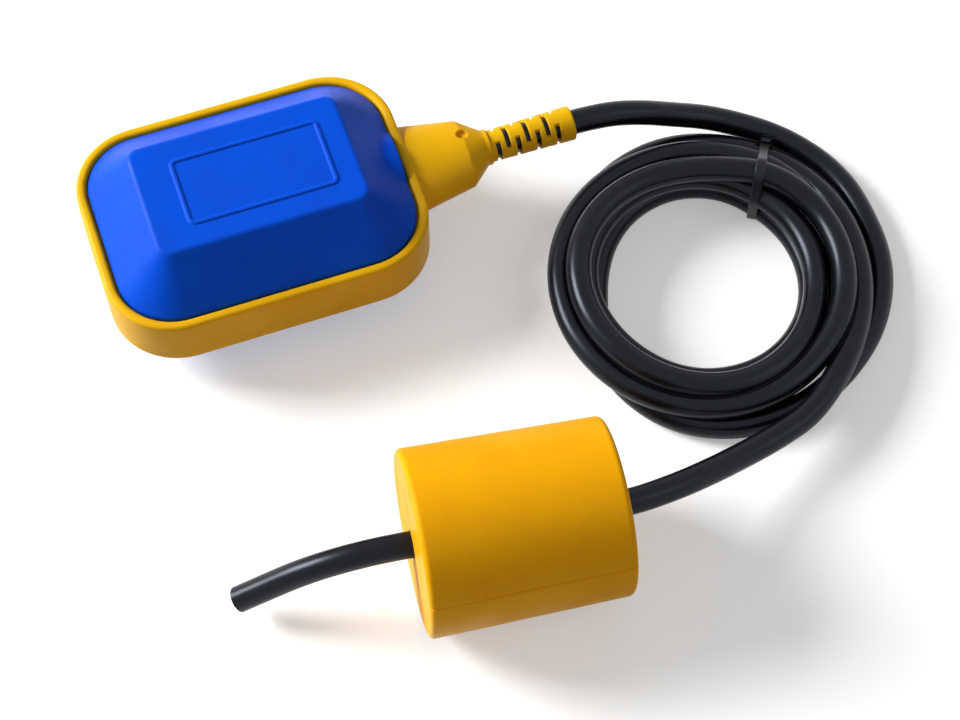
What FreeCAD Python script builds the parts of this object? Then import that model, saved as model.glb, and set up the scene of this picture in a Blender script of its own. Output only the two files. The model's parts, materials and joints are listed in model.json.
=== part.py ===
"""Float level switch: a tilting float with a ball-operated switch, its cable and a counterweight.

Frame: millimetres, +Z up. The origin lies on the floor under the middle of the float's body,
+X points out of the float's neck along the cable, and the float lies flat.
"""
import FreeCAD
import Part
import Sketcher
import math
import os

V = FreeCAD.Vector
doc = FreeCAD.newDocument("float_level_switch")

# ---------------------------------------------------------------- driving dimensions
SIZES = {
    # float body: two moulded shells held in a moulded band
    "body_length": 108, "body_width": 80, "body_corner": 23, "body_thickness": 49,
    "band_wall": 4, "band_height": 19.6, "rim_round": 1.3, "rebate_width": 0.7, "rebate_depth": 2.6,
    "shell_wall": 2.4, "bevel": 15.2, "bevel_round": 2.2, "foot_round": 1.0,
    "bead_depth": 1.5, "bead_height": 2.0, "bead_clearance": 0.05,
    "panel_length": 50, "panel_width": 26, "panel_centre": 2, "panel_rise": 0.4, "panel_line": 1.2,
    # cable way: bulge in the shells, neck on the band, seal in the neck
    "cable_diameter": 8.5, "cable_clearance": 0.1,
    "bulge_radius": 14, "bulge_length": 12,
    "neck_root_half_width": 17.3, "neck_root_half_height": 9.2,
    "neck_length": 19.3, "neck_half_width": 12.6, "neck_half_height": 8.6,
    "neck_shoulder": 7, "neck_end_radius": 6.1, "neck_collar": 1.5,
    "mark_radius": 1.9, "mark_depth": 0.9, "mark_aside": 2.4,
    "seal_radius": 6.5, "seal_length": 10,
    # boot: slotted strain relief, its root pressed into the neck
    "boot_root_radius": 5.4, "boot_mouth_radius": 5.9, "boot_reach": 29.7, "boot_root_length": 7,
    "slot_pitch": 7, "slot_width": 1.7, "slot_bridge": 2.3, "slot_start": 2.6, "slot_pairs": 4,
    # ball housing: a tray on four posts of the lower shell
    "ball_radius": 7.5, "ball_travel": 16, "ball_start": -26, "track_clearance": 0.3,
    "rolling_gap": 0.03, "end_gap": 0.5, "track_below_top": 38.5,
    "tray_floor": 2.0, "tray_wall": 2.0, "tray_depth": 15.5, "tray_end": 5, "tray_front": 18,
    "ear_radius": 3.6, "ear_reach": 4.2, "ear_back": -28, "ear_front": 10,
    "post_radius": 3.4, "screw_radius": 1.45, "screw_head_radius": 2.7, "screw_head": 1.7,
    "screw_length": 7, "screw_clearance": 0.05,
    # bracket: a plate on the tray with two cheeks for the lever and the microswitch
    "bracket_plate": 1.6, "cheek_wall": 1.8, "cheek_clearance": 0.05, "window_clearance": 0.3,
    "cheek_back": 2, "cheek_front": 4, "window_reach": 3.5, "relief_depth": 3.5,
    # cam lever on its pin
    "lever_width": 5.6, "pivot_x": 8, "pivot_rise": 18.7, "pin_radius": 1.0, "pin_clearance": 0.04,
    "pin_head_radius": 1.5, "pin_head": 0.8,
    "hub_radius": 2.2, "lever_angle": 8.5, "lever_thickness": 2.4, "push_arm": 7, "push_radius": 1.4,
    "contact_gap": 0.05,
    # microswitch
    "switch_length": 19.8, "switch_width": 6.4, "switch_height": 10.2, "switch_cover": 1.4,
    "switch_rise": 21.3, "switch_end": 4.8,
    "plunger_radius": 1.0, "plunger_length": 3.0, "plunger_room": 1.2,
    "rivet_radius": 1.1, "rivet_pitch": 9.5, "rivet_rise": 7.3, "rivet_head_radius": 2.0, "rivet_head": 1.2,
    "blade_length": 3.2, "blade_width": 0.6, "blade_height": 3.2, "blade_pitch": 7.2,
    # wiring inside the float
    "core_diameter": 2.2, "clamp_radius": 7.5, "clamp_length": 5, "cable_inside": 16,
    # counterweight: two drafted shell halves round an iron core and a gripping sleeve
    "weight_length": 64, "weight_radius": 29.4, "weight_draft": 1.2, "weight_round": 1.8,
    "weight_wall": 2.5, "weight_seam": 21.5, "seam_chamfer": 0.4, "weight_clearance": 0.3,
    "rib_thickness": 2.0, "rib_spacing": 30,
    "iron_radius": 16, "iron_length": 46, "sleeve_radius": 7.5, "sleeve_length": 54,
    "sleeve_clearance": 0.05,
    # cable coil and its tie
    "coil_hole_radius": 32.6, "coil_radius": 57.3, "coil_height": 24.3, "coil_round": 6,
    "coil_shift": 5, "tie_width": 3.6, "tie_thickness": 1.2, "tie_head": 5.6,
}
sheet = doc.addObject("Spreadsheet::Sheet", "Sizes")
for row, (alias, value) in enumerate(SIZES.items(), start=1):
    sheet.set(f"A{row}", alias)
    sheet.set(f"B{row}", str(value))
    sheet.setAlias(f"B{row}", alias)
doc.recompute()


def size(alias):
    """The value of one driving dimension."""
    return float(sheet.get(alias))


# ---------------------------------------------------------------- small helpers
PARTS = []
MIDDLE = size("body_thickness") / 2              # height of the float's parting plane
END_X = size("body_length") / 2                  # outer end face of the band
CABLE_R = size("cable_diameter") / 2
X_TO_Y = FreeCAD.Rotation(V(1, 1, 1), 120)       # local Z to X, local X to Y


def keep(thing, label):
    """Name a finished sub-part; the label is also its file name."""
    thing.Label = label
    PARTS.append(thing)
    return thing


def new_body(name):
    return doc.addObject("PartDesign::Body", name + "_body")


def origin_plane(body, role):
    return next(f for f in body.Origin.OriginFeatures if f.Role == role)


def new_sketch(body, name, role, offset=None):
    """A sketch on one of the body's origin planes, lifted along its normal by an expression."""
    sketch = body.newObject("Sketcher::SketchObject", name)
    sketch.AttachmentSupport = [(origin_plane(body, role), "")]
    sketch.MapMode = "FlatFace"
    if offset:
        sketch.setExpression("AttachmentOffset.Base.z", offset)
    return sketch


def bind(sketch, index, name, expression):
    sketch.renameConstraint(index, name)
    sketch.setExpression("Constraints." + name, expression)


def rounded_rectangle(sketch, tag, length, width, corner, centre_x=None):
    """A rounded rectangle about the origin (or about a point on the sketch's x axis)."""
    x, y, r = 30.0, 20.0, 5.0
    first = sketch.GeometryCount
    lines = [((-x + r, -y), (x - r, -y)), ((x, -y + r), (x, y - r)),
             ((x - r, y), (-x + r, y)), ((-x, y - r), (-x, -y + r))]
    for a, b in lines:
        sketch.addGeometry(Part.LineSegment(V(a[0], a[1], 0), V(b[0], b[1], 0)), False)
    corners = [(x - r, -y + r, -90), (x - r, y - r, 0), (-x + r, y - r, 90), (-x + r, -y + r, 180)]
    for cx, cy, start in corners:
        circle = Part.Circle(V(cx, cy, 0), V(0, 0, 1), r)
        arc = Part.ArcOfCircle(circle, math.radians(start), math.radians(start + 90))
        sketch.addGeometry(arc, False)
    for i in range(4):
        line, arc, following = first + i, first + 4 + i, first + (i + 1) % 4
        sketch.addConstraint(Sketcher.Constraint("Tangent", line, 2, arc, 1))
        sketch.addConstraint(Sketcher.Constraint("Tangent", arc, 2, following, 1))
    for i, way in enumerate(("Horizontal", "Vertical", "Horizontal", "Vertical")):
        sketch.addConstraint(Sketcher.Constraint(way, first + i))
    for i in range(3):
        sketch.addConstraint(Sketcher.Constraint("Equal", first + 4, first + 5 + i))
    index = sketch.addConstraint(Sketcher.Constraint("Radius", first + 4, r))
    bind(sketch, index, tag + "_corner", corner)
    index = sketch.addConstraint(Sketcher.Constraint("DistanceX", first + 2, 2, first, 2, 2 * (x - r)))
    bind(sketch, index, tag + "_length", f"{length} - 2 * ({corner})")
    index = sketch.addConstraint(Sketcher.Constraint("DistanceY", first, 2, first + 2, 1, 2 * y))
    bind(sketch, index, tag + "_width", width)
    index = sketch.addConstraint(Sketcher.Constraint("DistanceY", first, 2, -1, 1, y))
    bind(sketch, index, tag + "_low", f"({width}) / 2")
    index = sketch.addConstraint(Sketcher.Constraint("DistanceX", -1, 1, first, 2, x - r))
    bind(sketch, index, tag + "_side", f"({length}) / 2 - ({corner}) + ({centre_x or 0})")


def rectangle(sketch, tag, low_x, high_x, low_y, high_y):
    """A rectangle whose four sides are expressions measured from the sketch's origin."""
    points = [(10.0, 10.0), (20.0, 10.0), (20.0, 20.0), (10.0, 20.0)]
    first = sketch.GeometryCount
    for i, (ax, ay) in enumerate(points):
        bx, by = points[(i + 1) % 4]
        sketch.addGeometry(Part.LineSegment(V(ax, ay, 0), V(bx, by, 0)), False)
    for i in range(4):
        following = first + (i + 1) % 4
        sketch.addConstraint(Sketcher.Constraint("Coincident", first + i, 2, following, 1))
    for i, way in enumerate(("Horizontal", "Vertical", "Horizontal", "Vertical")):
        sketch.addConstraint(Sketcher.Constraint(way, first + i))
    sides = [("DistanceX", first, 1, "low_x", low_x), ("DistanceY", first, 1, "low_y", low_y),
             ("DistanceX", first + 1, 2, "high_x", high_x), ("DistanceY", first + 1, 2, "high_y", high_y)]
    for kind, line, end, name, expression in sides:
        index = sketch.addConstraint(Sketcher.Constraint(kind, -1, 1, line, end, 12.0))
        bind(sketch, index, f"{tag}_{name}", expression)


def circle(sketch, tag, radius, x=None, y=None):
    """A circle whose radius and centre are expressions."""
    index = sketch.addGeometry(Part.Circle(V(7, 6, 0), V(0, 0, 1), 3), False)
    bind(sketch, sketch.addConstraint(Sketcher.Constraint("Radius", index, 3)), tag + "_radius", radius)
    for kind, axis, where in (("DistanceX", "x", x), ("DistanceY", "y", y)):
        number = sketch.addConstraint(Sketcher.Constraint(kind, -1, 1, index, 3, 5.0))
        bind(sketch, number, f"{tag}_{axis}", where or "0")


def extrude(body, kind, sketch, length, both_ways=False, reverse=False):
    """A Pad or Pocket of a sketch."""
    feature = body.newObject("PartDesign::" + kind, kind)
    feature.Profile = sketch
    feature.SideType = "Symmetric" if both_ways else "One side"
    feature.Reversed = reverse
    feature.setExpression("Length", length)
    return feature


def edges_where(shape, test):
    return [f"Edge{i}" for i, edge in enumerate(shape.Edges, start=1) if test(edge)]


def dress(body, kind, base, edges, amount):
    """A Fillet or Chamfer on named edges of the feature before it."""
    feature = body.newObject("PartDesign::" + kind, kind)
    feature.Base = (base, edges)
    feature.setExpression("Radius" if kind == "Fillet" else "Size", amount)
    return feature


def at_height(z):
    return lambda edge: all(abs(v.Z - z) < 1e-4 for v in edge.Vertexes) and len(edge.Vertexes) > 1


def cylinder(name, radius, length, x="0", y="0", z="0", along="Z"):
    """A Part cylinder bound to the sheet, its base centre at x, y, z."""
    thing = doc.addObject("Part::Cylinder", name)
    thing.setExpression("Radius", radius)
    thing.setExpression("Height", length)
    turn = {"Z": FreeCAD.Rotation(), "X": X_TO_Y, "Y": FreeCAD.Rotation(V(1, 0, 0), -90)}[along]
    thing.Placement = FreeCAD.Placement(V(0, 0, 0), turn)
    for axis, where in (("x", x), ("y", y), ("z", z)):
        thing.setExpression("Placement.Base." + axis, where)
    return thing


def box(name, low_x, high_x, low_y, high_y, low_z, high_z):
    """A Part box between six planes given as expressions."""
    thing = doc.addObject("Part::Box", name)
    for prop, low, high in (("Length", low_x, high_x), ("Width", low_y, high_y), ("Height", low_z, high_z)):
        thing.setExpression(prop, f"({high}) - ({low})")
    for axis, low in (("x", low_x), ("y", low_y), ("z", low_z)):
        thing.setExpression("Placement.Base." + axis, low)
    return thing


def fuse(name, things):
    thing = doc.addObject("Part::MultiFuse", name)
    thing.Shapes = things
    thing.Refine = True
    return thing


def cut(name, base, tools):
    thing = doc.addObject("Part::Cut", name)
    thing.Base = base
    thing.Tool = tools[0] if len(tools) == 1 else fuse(name + "_tools", tools)
    return thing


def tube_path(points):
    """Straight runs joined by tangent arcs, each as large as its two runs allow."""
    edges, start, radii = [], points[0], []
    for before, corner, after in zip(points, points[1:], points[2:]):
        run_in, run_out = corner - before, after - corner
        turn = run_in.getAngle(run_out)
        setback = 0.45 * min(run_in.Length, run_out.Length)
        radii.append(setback / math.tan(turn / 2))
        a = corner - V(run_in).normalize() * setback
        b = corner + V(run_out).normalize() * setback
        inward = (V(run_out).normalize() - V(run_in).normalize()).normalize()
        centre = corner + inward * (radii[-1] / math.cos(turn / 2))
        middle = centre - inward * radii[-1]
        edges.append(Part.LineSegment(start, a).toShape())
        edges.append(Part.Arc(a, middle, b).toShape())
        start = b
    edges.append(Part.LineSegment(start, points[-1]).toShape())
    return Part.Wire(edges), radii


def tube(label, points, diameter):
    """A round cord along a route of points; its volume is compared with section times length."""
    wire, radii = tube_path(points)
    section = Part.Wire([Part.Circle(points[0], points[1] - points[0], diameter / 2).toShape()])
    solid = wire.makePipeShell([section], True, True)
    expected = math.pi * diameter ** 2 / 4 * wire.Length
    print(f"{label}: length {wire.Length:.1f}, radii", [round(r, 1) for r in radii],
          f"volume ratio {solid.Volume / expected:.4f}")
    thing = doc.addObject("Part::Feature", label + "_tube")
    thing.Shape = solid
    return keep(thing, label)


# ---------------------------------------------------------------- float shells
INNER_LENGTH = "Sizes.body_length - 2 * Sizes.band_wall"
INNER_WIDTH = "Sizes.body_width - 2 * Sizes.band_wall"
INNER_CORNER = "Sizes.body_corner - Sizes.band_wall"
HALF = "Sizes.body_thickness / 2"
BORE = "Sizes.cable_diameter / 2 + Sizes.cable_clearance"
TRACK_Z = "(Sizes.body_thickness - Sizes.track_below_top)"
TRAY_BASE = f"{TRACK_Z} - Sizes.tray_floor"
EAR_SCREW = f"({TRACK_Z} - Sizes.shell_wall)"
EAR_Y = "(Sizes.ball_radius + Sizes.track_clearance + Sizes.tray_wall + Sizes.ear_reach)"
EARS = [(f"Sizes.ear_{end}", side) for end in ("back", "front") for side in ("-", "")]


def half_disc(sketch, tag, radius):
    """The upper half of a disc about the sketch's origin."""
    arc = Part.ArcOfCircle(Part.Circle(V(0, 0, 0), V(0, 0, 1), 10), 0, math.pi)
    sketch.addGeometry(arc, False)
    sketch.addGeometry(Part.LineSegment(V(-10, 0, 0), V(10, 0, 0)), False)
    sketch.addConstraint(Sketcher.Constraint("Coincident", 0, 3, -1, 1))
    sketch.addConstraint(Sketcher.Constraint("Coincident", 0, 2, 1, 1))
    sketch.addConstraint(Sketcher.Constraint("Coincident", 0, 1, 1, 2))
    sketch.addConstraint(Sketcher.Constraint("PointOnObject", 0, 1, -1))
    bind(sketch, sketch.addConstraint(Sketcher.Constraint("Radius", 0, 10)), tag + "_radius", radius)


def shell_half(label):
    """One bevelled half of the float, modelled with its parting plane on local z = 0."""
    body = new_body(label)
    outline = new_sketch(body, "outline", "XY_Plane")
    rounded_rectangle(outline, "shell", INNER_LENGTH, INNER_WIDTH, INNER_CORNER)
    block = extrude(body, "Pad", outline, HALF)
    doc.recompute()
    bevel = dress(body, "Chamfer", block, edges_where(block.Shape, at_height(MIDDLE)), "Sizes.bevel")
    doc.recompute()
    foot = edges_where(bevel.Shape, at_height(MIDDLE - size("bevel")))
    softened = dress(body, "Fillet", bevel, foot, "Sizes.foot_round")
    doc.recompute()
    crown = edges_where(softened.Shape, at_height(MIDDLE))
    dress(body, "Fillet", softened, crown, "Sizes.bevel_round")

    # half-round bulge over the cable way, ending at the band
    arch = new_sketch(body, "arch", "YZ_Plane", f"({INNER_LENGTH}) / 2 - Sizes.bulge_length")
    half_disc(arch, "arch", "Sizes.bulge_radius")
    extrude(body, "Pad", arch, "Sizes.bulge_length")

    # cavity: upright walls first, then the bevel again inside the wall
    straight = f"{HALF} - Sizes.bevel"
    hollow_length = f"{INNER_LENGTH} - 2 * Sizes.shell_wall"
    hollow_width = f"{INNER_WIDTH} - 2 * Sizes.shell_wall"
    hollow_corner = f"{INNER_CORNER} - Sizes.shell_wall"
    rise = "(Sizes.bevel - Sizes.shell_wall)"
    floor = new_sketch(body, "cavity", "XY_Plane")
    rounded_rectangle(floor, "cavity", hollow_length, hollow_width, hollow_corner)
    extrude(body, "Pocket", floor, straight, reverse=True)
    low = new_sketch(body, "cavity_foot", "XY_Plane", straight)
    rounded_rectangle(low, "foot", hollow_length, hollow_width, hollow_corner)
    high = new_sketch(body, "cavity_crown", "XY_Plane", f"{HALF} - Sizes.shell_wall")
    rounded_rectangle(high, "crown", f"{hollow_length} - 2 * {rise}", f"{hollow_width} - 2 * {rise}",
                      f"{hollow_corner} - {rise}")
    hollow = body.newObject("PartDesign::SubtractiveLoft", "cavity_bevel")
    hollow.Profile = low
    hollow.Sections = [high]
    hollow.Ruled = True
    channel = new_sketch(body, "channel", "YZ_Plane",
                         f"({INNER_LENGTH}) / 2 - Sizes.bulge_length - Sizes.shell_wall")
    half_disc(channel, "channel", "Sizes.bulge_radius - Sizes.shell_wall")
    extrude(body, "Pocket", channel, "Sizes.bulge_length", reverse=True)

    # bead round the parting plane, trapped in the band's groove
    ring = new_sketch(body, "bead", "XY_Plane")
    rounded_rectangle(ring, "out", f"{INNER_LENGTH} + 2 * Sizes.bead_depth",
                      f"{INNER_WIDTH} + 2 * Sizes.bead_depth", f"{INNER_CORNER} + Sizes.bead_depth")
    rounded_rectangle(ring, "wall", f"{INNER_LENGTH} - Sizes.shell_wall", f"{INNER_WIDTH} - Sizes.shell_wall",
                      f"{INNER_CORNER} - Sizes.shell_wall / 2")
    extrude(body, "Pad", ring, "Sizes.bead_height")
    cable_hole = new_sketch(body, "cable_hole", "YZ_Plane")
    circle(cable_hole, "cable", BORE)
    extrude(body, "Pocket", cable_hole, "Sizes.body_length", reverse=True)
    seal_seat = new_sketch(body, "seal_seat", "YZ_Plane", f"({INNER_LENGTH}) / 2")
    circle(seal_seat, "seal", "Sizes.seal_radius")
    extrude(body, "Pocket", seal_seat, "Sizes.bead_depth", reverse=True)
    return body


def upper_shell():
    """The upper half carries a plain raised frame on its flat top."""
    body = shell_half("upper_shell")
    frame = new_sketch(body, "panel", "XY_Plane", f"{HALF} - Sizes.shell_wall / 2")
    for tag, line in (("outer", "0"), ("inner", "2 * Sizes.panel_line")):
        rounded_rectangle(frame, tag, f"Sizes.panel_length - {line}", f"Sizes.panel_width - {line}",
                          f"2 * Sizes.panel_line - ({line}) / 2", "Sizes.panel_centre")
    extrude(body, "Pad", frame, "Sizes.shell_wall / 2 + Sizes.panel_rise")
    body.setExpression("Placement.Base.z", HALF)
    return keep(body, "upper_shell")


def lower_shell():
    """The lower half is turned over; four posts on its floor carry the ball housing."""
    body = shell_half("lower_shell")
    posts = new_sketch(body, "posts", "XY_Plane", f"{HALF} - ({TRAY_BASE})")
    holes = new_sketch(body, "post_holes", "XY_Plane", f"{HALF} - ({TRAY_BASE})")
    for i, (x, side) in enumerate(EARS):
        circle(posts, f"post{i}", "Sizes.post_radius", x, side + EAR_Y)
        circle(holes, f"hole{i}", "Sizes.screw_radius + Sizes.screw_clearance", x, side + EAR_Y)
    extrude(body, "Pad", posts, f"{TRAY_BASE} - Sizes.shell_wall / 2")
    extrude(body, "Pocket", holes, f"{EAR_SCREW} - Sizes.tray_floor + Sizes.shell_wall / 8", reverse=True)
    body.Placement = FreeCAD.Placement(V(0, 0, 0), FreeCAD.Rotation(V(1, 0, 0), 180))
    body.setExpression("Placement.Base.z", HALF)
    return keep(body, "lower_shell")


# ---------------------------------------------------------------- band with its neck
SHOULDER_X = "(Sizes.body_length / 2 + Sizes.neck_length)"
NECK_END_X = f"({SHOULDER_X} + Sizes.neck_shoulder + Sizes.neck_collar)"
SHELL_END_X = f"(({INNER_LENGTH}) / 2)"


def neck_section(name, x, half_width, half_height):
    """An upright ellipse across the cable's axis."""
    ellipse = doc.addObject("Part::Ellipse", name)
    ellipse.setExpression("MajorRadius", half_width)
    ellipse.setExpression("MinorRadius", half_height)
    ellipse.Placement = FreeCAD.Placement(V(0, 0, 0), X_TO_Y)
    ellipse.setExpression("Placement.Base.x", x)
    ellipse.setExpression("Placement.Base.z", HALF)
    return ellipse


def loft(name, sections, ruled):
    thing = doc.addObject("Part::Loft", name)
    thing.Sections = sections
    thing.Solid = True
    thing.Ruled = ruled
    return thing


def outer_band():
    """The moulded ring round both shells, with the flattened neck that the cable leaves by."""
    body = new_body("band_ring")
    ring = new_sketch(body, "ring", "XY_Plane")
    rounded_rectangle(ring, "outer", "Sizes.body_length", "Sizes.body_width", "Sizes.body_corner")
    rounded_rectangle(ring, "inner", INNER_LENGTH, INNER_WIDTH, INNER_CORNER)
    extrude(body, "Pad", ring, "Sizes.band_height", both_ways=True)
    for way in (1, -1):
        level = f"{way} * (Sizes.band_height / 2 - Sizes.rebate_depth)"
        rebate = new_sketch(body, "rebate", "XY_Plane", level)
        rounded_rectangle(rebate, "rebate", f"{INNER_LENGTH} + 2 * Sizes.rebate_width",
                          f"{INNER_WIDTH} + 2 * Sizes.rebate_width", f"{INNER_CORNER} + Sizes.rebate_width")
        wall = extrude(body, "Pocket", rebate, "Sizes.rebate_depth", reverse=way > 0)
    doc.recompute()
    rim = edges_where(wall.Shape, at_height(size("band_height") / 2))
    rim += edges_where(wall.Shape, at_height(-size("band_height") / 2))
    dress(body, "Fillet", wall, rim, "Sizes.rim_round")
    groove = new_sketch(body, "groove", "XY_Plane")
    deep = "2 * (Sizes.bead_depth + Sizes.bead_clearance)"
    rounded_rectangle(groove, "groove", f"{INNER_LENGTH} + {deep}", f"{INNER_WIDTH} + {deep}",
                      f"{INNER_CORNER} + ({deep}) / 2")
    extrude(body, "Pocket", groove, "2 * (Sizes.bead_height + Sizes.bead_clearance)", both_ways=True)
    body.setExpression("Placement.Base.z", HALF)

    root = f"{SHELL_END_X} + Sizes.bead_depth + 2 * Sizes.bead_clearance"
    shoulder = neck_section("neck_shoulder", SHOULDER_X, "Sizes.neck_half_width", "Sizes.neck_half_height")
    taper = loft("neck_taper", [
        neck_section("neck_root", root, "Sizes.neck_root_half_width", "Sizes.neck_root_half_height"),
        shoulder], True)
    nose = loft("neck_nose", [
        neck_section("nose_root", SHOULDER_X, "Sizes.neck_half_width", "Sizes.neck_half_height"),
        neck_section("nose_end", f"{SHOULDER_X} + Sizes.neck_shoulder", "Sizes.neck_end_radius",
                     "Sizes.neck_end_radius")], True)
    collar = cylinder("neck_collar", "Sizes.neck_end_radius", "Sizes.neck_collar",
                      f"{SHOULDER_X} + Sizes.neck_shoulder", "0", HALF, "X")
    bore = cylinder("neck_bore", BORE, f"{NECK_END_X} - {SHELL_END_X} + 1", SHELL_END_X, "0", HALF, "X")
    seat = cylinder("seal_seat", "Sizes.seal_radius", "Sizes.seal_length", SHELL_END_X, "0", HALF, "X")
    socket = cylinder("boot_socket", "Sizes.boot_root_radius", "Sizes.boot_root_length + 1",
                      f"{NECK_END_X} - Sizes.boot_root_length", "0", HALF, "X")
    mark = cylinder("gate_mark", "Sizes.mark_radius", "Sizes.neck_half_height",
                    SHOULDER_X, "Sizes.mark_aside",
                    f"{HALF} + Sizes.neck_half_height - Sizes.mark_depth - 0.8")
    whole = fuse("band_and_neck", [body, taper, nose, collar])
    return keep(cut("outer_band", whole, [bore, seat, socket, mark]), "outer_band")


def neck_seal():
    """Rubber ring pressed round the cable where it passes from the shells into the neck."""
    outside = cylinder("seal_ring", "Sizes.seal_radius", "Sizes.seal_length", SHELL_END_X, "0", HALF, "X")
    hole = cylinder("seal_hole", "Sizes.cable_diameter / 2", "Sizes.seal_length", SHELL_END_X, "0", HALF, "X")
    return keep(cut("neck_seal", outside, [hole]), "neck_seal")


# ---------------------------------------------------------------- cable boot
BOOT_MOUTH_X = f"({NECK_END_X} + Sizes.boot_reach)"


def quadrilateral(sketch, tag, points):
    """Four straight sides through corners given as pairs of expressions."""
    first = sketch.GeometryCount
    seeds = [(5.0, 4.0), (25.0, 4.0), (25.0, 8.0), (5.0, 8.0)]
    for i, (ax, ay) in enumerate(seeds):
        bx, by = seeds[(i + 1) % 4]
        sketch.addGeometry(Part.LineSegment(V(ax, ay, 0), V(bx, by, 0)), False)
    for i in range(4):
        sketch.addConstraint(Sketcher.Constraint("Coincident", first + i, 2, first + (i + 1) % 4, 1))
    for i, (x, y) in enumerate(points):
        for kind, axis, where in (("DistanceX", "x", x), ("DistanceY", "y", y)):
            index = sketch.addConstraint(Sketcher.Constraint(kind, -1, 1, first + i, 1, 5.0))
            bind(sketch, index, f"{tag}_{axis}{i}", where)


def revolve(body, kind, sketch, degrees=360.0):
    """A Revolution or Groove about the sketch's horizontal axis."""
    feature = body.newObject("PartDesign::" + kind, kind)
    feature.Profile = sketch
    feature.ReferenceAxis = (sketch, ["H_Axis"])
    feature.Angle = degrees
    return feature


def cable_boot():
    """A flared sleeve with pairs of slots, each pair a quarter turn from the one before."""
    body = new_body("cable_boot")
    root = new_sketch(body, "root", "XZ_Plane")
    rectangle(root, "root", "-Sizes.boot_root_length", "Sizes.slot_width", BORE, "Sizes.boot_root_radius")
    revolve(body, "Revolution", root)
    section = new_sketch(body, "section", "XZ_Plane")
    quadrilateral(section, "wall", [("0", BORE), ("Sizes.boot_reach", BORE),
                                    ("Sizes.boot_reach", "Sizes.boot_mouth_radius"),
                                    ("0", "Sizes.boot_root_radius")])
    sleeve = revolve(body, "Revolution", section)
    doc.recompute()
    mouth_width = 2 * size("boot_mouth_radius") - 0.1
    rims = edges_where(sleeve.Shape, lambda e: abs(e.BoundBox.XMin - size("boot_reach")) < 1e-4
                       and e.BoundBox.XLength < 1e-4 and e.BoundBox.YLength > mouth_width)
    dress(body, "Fillet", sleeve, rims, "Sizes.boot_root_radius * 0.1")
    full, less = "Sizes.slot_pairs", "Sizes.slot_pairs - 1"
    for plane, start, count in (("XZ_Plane", "0", full), ("XY_Plane", "Sizes.slot_pitch / 2", less)):
        for way in (False, True):
            lift = "-Sizes.slot_bridge" if way else "Sizes.slot_bridge"
            slot = new_sketch(body, "slot", plane, lift)
            low = f"Sizes.slot_start + {start} - Sizes.slot_width / 2"
            rectangle(slot, "slot", low, f"{low} + Sizes.slot_width", "-2 * Sizes.boot_mouth_radius",
                      "2 * Sizes.boot_mouth_radius")
            pocket = extrude(body, "Pocket", slot, "2 * Sizes.boot_mouth_radius", reverse=not way)
            pattern = body.newObject("PartDesign::LinearPattern", "slots")
            pattern.Originals = [pocket]
            pattern.Direction = (slot, ["H_Axis"])
            pattern.setExpression("Length", f"Sizes.slot_pitch * ({count} - 1)")
            pattern.setExpression("Occurrences", count)
            body.Tip = pattern
    body.setExpression("Placement.Base.x", NECK_END_X)
    body.setExpression("Placement.Base.z", HALF)
    return keep(body, "cable_boot")


# ---------------------------------------------------------------- ball housing
TRACK_LOW_X = "(Sizes.ball_start - Sizes.ball_radius - Sizes.end_gap)"
TRACK_HIGH_X = "(Sizes.ball_start + Sizes.ball_travel + Sizes.ball_radius + Sizes.end_gap)"
TRACK_Y = "(Sizes.ball_radius + Sizes.track_clearance)"
TRAY_LOW_X = f"({TRACK_LOW_X} - Sizes.tray_end)"
TRAY_HIGH_X = "Sizes.tray_front"
TRAY_TOP = f"({TRACK_Z} + Sizes.tray_depth)"
WINDOW_Y = "(Sizes.lever_width / 2 + Sizes.window_clearance)"
WINDOW_HIGH_X = "(Sizes.pivot_x + Sizes.window_reach)"
BRACKET_SCREW_X = [f"({TRAY_LOW_X} + Sizes.tray_end / 2)", "(Sizes.tray_front - Sizes.tray_end / 2)"]


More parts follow.
